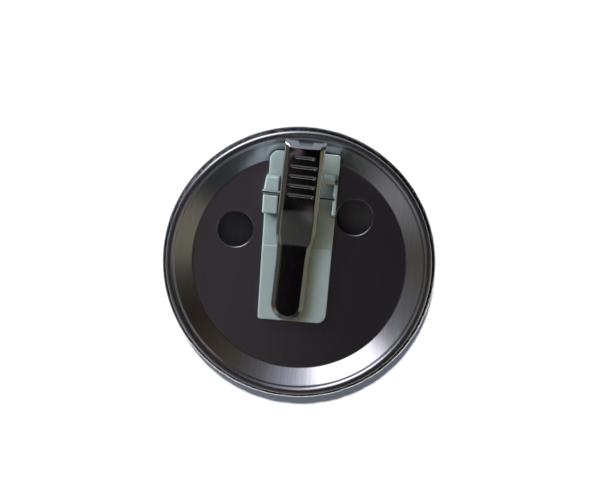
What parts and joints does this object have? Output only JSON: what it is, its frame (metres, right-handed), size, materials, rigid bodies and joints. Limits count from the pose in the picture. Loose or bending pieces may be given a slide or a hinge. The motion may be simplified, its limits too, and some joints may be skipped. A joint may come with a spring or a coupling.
{
  "type": "button badge with crocodile clip",
  "caption": "Round domed tinplate button badge, back up, with a dished back plate, a rolled rim and a sprung crocodile clip on a moulded base.",
  "frame": {"origin": "lowest point of the domed front, under the badge's centre, with the badge lying face down", "axes": "+Z out of the back, +Y along the clip's lever towards its thumb end, +X along the axle"},
  "size_m": [0.058, 0.058, 0.0128],
  "materials": {
    "tinplate": "bright rolled tinplate",
    "print_paper": "coated paper in one plain dark ink",
    "clear_film": "clear gloss film",
    "back_tinplate": "bright tinplate with fine rolling lines",
    "foam_tape": "matt foam tape",
    "clip_plastic": "milky translucent moulding",
    "axle_wire": "bright drawn wire",
    "spring_wire": "drawn spring wire",
    "nickel_steel": "nickel-plated pressed steel"
  },
  "bodies": {
    "badge": {"front_shell": "tinplate", "artwork_disc": "print_paper", "clear_film": "clear_film", "back_plate": "back_tinplate", "adhesive_pad": "foam_tape", "clip_base": "clip_plastic", "clip_axle": "axle_wire", "clip_spring": "spring_wire"},
    "lever": {"clip_lever": "nickel_steel"}
  },
  "joints": [
    {"name": "lever_pivot", "type": "hinge", "parent": "badge", "child": "lever", "pos_m": [-0.0013, 0.0148, 0.00913], "axis": [-1, 0, 0], "range_deg": [0, 18], "stiffness_Nm_per_rad": 0.12, "springref_deg": -28.65, "deforming": ["clip_spring"]}
  ]
}
